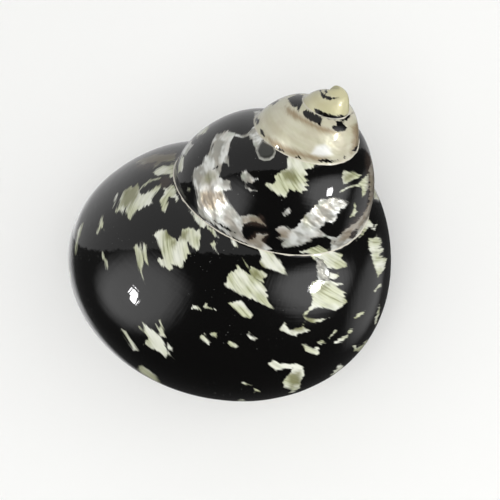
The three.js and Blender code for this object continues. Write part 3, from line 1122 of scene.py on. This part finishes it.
def cream_colour(nodes, shapes):
    """Cream with olive streaks and whiter clouds, brown in the tan marks."""
    paler = streaks(nodes, 0.12, 2.4, seed=5.0, low=0.28, high=0.6, detail=4.0)
    whiter = streaks(nodes, 0.12, 0.3, seed=9.0, low=0.38, high=0.66)
    cream = nodes.blend(paler, "#868a66", "#c4c7a8")
    return nodes.tint(cream, (whiter, 0.8, "#e8e9df"), (shapes["olive"], 0.85, "#6d6d40"),
                      (shapes["tan"], 0.8, "#4d3f30"))


def nacre_folds(nodes):
    return nodes.noise(along_streaks(nodes, 0.22, 0.42, seed=13.0))


def pearl_colour(nodes, shapes):
    """Silver nacre with folds, a blush of pink and green, and tan where it is worn."""
    pearl = nodes.blend(nodes.step(nacre_folds(nodes), 0.42, 0.58), "#9f9e95", "#e6e8e3")
    blush = clouds(nodes, 0.2, 0.4, seed=17.0, low=0.4, high=0.7)
    green = clouds(nodes, 0.3, 0.3, seed=19.0, low=0.55, high=0.7)
    return nodes.tint(pearl, (blush, 0.4, "#c6bbac"), (green, 0.4, "#b2beae"),
                      (shapes["olive"], 0.6, "#86855c"), (shapes["tan"], 0.65, "#8a7659"))


def lining_colour(nodes):
    """Smooth pearl in the mouth."""
    on_object = nodes.add("TexCoord", {}).outputs["Object"]
    cloudy = nodes.step(nodes.noise(on_object, scale=110.0), 0.35, 0.65)
    blush = nodes.step(nodes.noise(on_object, scale=70.0), 0.45, 0.7)
    return nodes.tint(nodes.blend(cloudy, "#c3c6bf", "#e6e5de"), (blush, 0.5, "#d6c6b8"))


def worn_colour(nodes, shapes):
    """Colour of the rubbed spire, yellower towards the tip, with one flat spot of nacre whose white is a
    painted lamp reflection, and tan bands and a painted shadow below a step.
    """
    bands = clouds(nodes, 0.05, 0.6, seed=21.0, low=0.3, high=0.7, detail=3.0)
    browner = clouds(nodes, 0.3, 0.3, seed=25.0, low=0.4, high=0.7)
    yellow = nodes.step(nodes.note("turn"), *YELLOW_TURNS)
    painted_facet_reflection = nodes.step(nodes.note("pearl"), -0.5, 0.6)
    worn = nodes.blend(bands, "#c4c1a6", "#d0cdb8")
    return nodes.tint(worn, (browner, 0.35, "#b9ad97"), (yellow, 0.7, "#c9c392"),
                      (painted_facet_reflection, 0.85, "#f0f1ee"), (shapes["tan"], 0.8, "#8b7555"))


def surface_height(nodes):
    """Relief in mm: growth lines, spiral waves, ripples and small pits in the lacquer."""
    growth_lines = nodes.times(nodes.noise(on_skin(nodes, 1.4, 0.12, seed=31.0), detail=3.0), 0.015)
    waves = nodes.times(nodes.noise(on_skin(nodes, 0.06, 0.7, seed=35.0)), 0.025)
    ripples = nodes.times(nodes.noise(on_skin(nodes, 0.35, 0.3, seed=39.0)), 0.02)
    pits = nodes.times(nodes.step(nodes.cells(on_skin(nodes, 0.33, 0.33, seed=43.0)), 0.07, 0.0), -0.03)
    return nodes.sum(growth_lines, waves, ripples, pits)


def suture_line(nodes):
    """A thin pale line along the upper edge of each whorl, but not on the tip."""
    wander = nodes.times(nodes.noise(on_skin(nodes, 0.3, 0.3, seed=51.0)), 0.5)
    line = nodes.step(nodes.sum(nodes.note("across"), wander), 0.55, 0.45)
    return nodes.times(line, nodes.step(nodes.note("turn"), *SUTURE_LINE_TURNS))


def shell_material():
    material = bpy.data.materials.new("polished_shell")
    nodes = Nodes(material)
    shapes = mark_shapes(nodes)
    undarkened = nodes.rest(shapes["dark"])
    worn = nodes.times(nodes.step(nodes.note("turn"), *WORN_TURNS), undarkened)
    pearl = nodes.times(shapes["pearl"], undarkened, nodes.rest(worn))
    hollow = nodes.step(nodes.note("inside"), 0.1, 0.4)
    # A pale ring just inside the drop's edge is a painted highlight along its rim.
    drip_rim_highlight = nodes.times(shapes["drip"], nodes.step(nodes.note("drip"), 0.5, 0.15))

    colour = black_colour(nodes, shapes)
    colour = nodes.blend(shapes["cream"], colour, cream_colour(nodes, shapes))
    colour = nodes.blend(pearl, colour, pearl_colour(nodes, shapes))
    colour = nodes.blend(worn, colour, worn_colour(nodes, shapes))
    colour = nodes.blend(suture_line(nodes), colour, "#cfcabb")
    colour = nodes.tint(colour, (shapes["drip"], 0.75, "#3a3b37"), (drip_rim_highlight, 0.6, "#b1b1a8"))
    colour = nodes.blend(hollow, colour, lining_colour(nodes))

    folded = nodes.math("MAXIMUM", pearl, nodes.times(worn, 0.5))
    nacre = nodes.math("MAXIMUM", folded, hollow)
    outside = nodes.rest(hollow)
    height = nodes.times(surface_height(nodes), outside)
    folds = nodes.times(nacre_folds(nodes), folded, outside, 0.8)
    nodes.put(nodes.tree.nodes["Principled BSDF"], {
        "Base Color": colour,
        "Roughness": nodes.number(nacre, 0.4, 0.28),
        "Metallic": nodes.times(nacre, 0.35),
        "Normal": nodes.bump(nodes.sum(height, folds)),
        "Coat Normal": nodes.bump(height),
        "Coat Weight": 1.0,
        "Coat Roughness": 0.03,
        "Coat IOR": 1.5,
        "Specular IOR Level": 0.05,
    })
    return material


def add_floor():
    """A pale floor that the gloss of the shell doesn't mirror."""
    mesh = bpy.data.meshes.new("floor")
    half = 1.5
    corners = [(-half, -half, 0), (half, -half, 0), (half, half, 0), (-half, half, 0)]
    mesh.from_pydata(corners, [], [(0, 1, 2, 3)])
    floor = bpy.data.objects.new("floor", mesh)
    material = bpy.data.materials.new("pale_floor")
    nodes = Nodes(material)
    nodes.put(nodes.tree.nodes["Principled BSDF"], {"Base Color": paint("#f6f6f4"), "Roughness": 0.8})
    floor.data.materials.append(material)
    floor.visible_glossy = False
    bpy.context.scene.collection.objects.link(floor)


def add_light(name, towards, distance, size, radiance):
    """A round light in a direction from the shell; its size is width and height in metres."""
    data = bpy.data.lights.new(name, "AREA")
    data.shape = "ELLIPSE"
    data.size, data.size_y = size
    area = size[0] * size[1] * math.pi / 4
    data.energy = radiance * math.pi * area
    light = bpy.data.objects.new(name, data)
    light.location = Vector(towards).normalized() * distance
    light.rotation_euler = light.location.to_track_quat("Z", "Y").to_euler()
    light.visible_camera = False
    bpy.context.scene.collection.objects.link(light)
    return light


def add_mirrored_light(name, towards, size, radiance, spin=0.0):
    """A distant light that shows only as a reflection in the gloss, spun in its own plane."""
    light = add_light(name, towards, MIRRORED_DISTANCE, size, radiance)
    light.rotation_euler.rotate_axis("Z", math.radians(spin))
    light.visible_diffuse = False
    return light


def fade_to_edge(light):
    """Makes a light even in its middle, fading to nothing at its edge."""
    nodes = Nodes(light.data)
    place_on_light = nodes.add("NewGeometry", {}).outputs["Parametric"]
    from_middle = nodes.add("VectorMath", {0: place_on_light, 1: LIGHT_MIDDLE}, operation="DISTANCE")
    strength = nodes.step(from_middle.outputs["Value"], *LIGHT_FADE)
    nodes.put(nodes.tree.nodes["Emission"], {"Strength": strength})


def add_world():
    """A white backdrop that lights the colours evenly, and a dark room in the gloss."""
    world = bpy.data.worlds.new("studio")
    nodes = Nodes(world)
    path = nodes.add("LightPath", {}).outputs
    unseen = nodes.number(path["Is Diffuse Ray"], 0.05, 0.5)
    strength = nodes.number(path["Is Camera Ray"], unseen, 1.0)
    nodes.put(nodes.tree.nodes["Background"], {"Color": (1, 1, 1, 1), "Strength": strength})
    bpy.context.scene.world = world


def add_lights():
    """Two lamps in softboxes and three dim panels for the gloss, and two soft fills for the colours."""
    add_world()
    left = (-0.72, -0.15, 0.67)
    right = (0.917, -0.2, 0.342)
    add_mirrored_light("lamp_left", left, (0.58, 0.29), 40, spin=-20)
    add_mirrored_light("lamp_right", right, (0.64, 0.4), 40)
    fade_to_edge(add_mirrored_light("softbox_left", left, (3.6, 4.8), 1.4, spin=-15))
    fade_to_edge(add_mirrored_light("softbox_right", right, (3.4, 4.6), 1.8))
    fade_to_edge(add_mirrored_light("panel_left", (-0.72, 0.12, -0.68), (2.6, 2.6), 0.9))
    fade_to_edge(add_mirrored_light("panel_right", (0.75, -0.1, -0.65), (3.0, 3.0), 0.6))
    back = add_mirrored_light("panel_back", (0, 1, 0), (12.0, 16.5), 0.5)
    back.location.x = -2.0
    fills = {"front_fill": ((0.15, -0.4, 0.9), 2.0), "right_fill": ((0.8, -0.2, 0.57), 1.7)}
    for name, (towards, radiance) in fills.items():
        fill = add_light(name, towards, FILL_DISTANCE, FILL_SIZE, radiance)
        fill.visible_glossy = False
    bpy.context.scene.view_settings.view_transform = "Standard"


shell, shift = add_shell()
shell.data.materials.append(shell_material())
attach(shell, "root")
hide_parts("shell")
add_floor()
add_lights()
add_camera(shift)
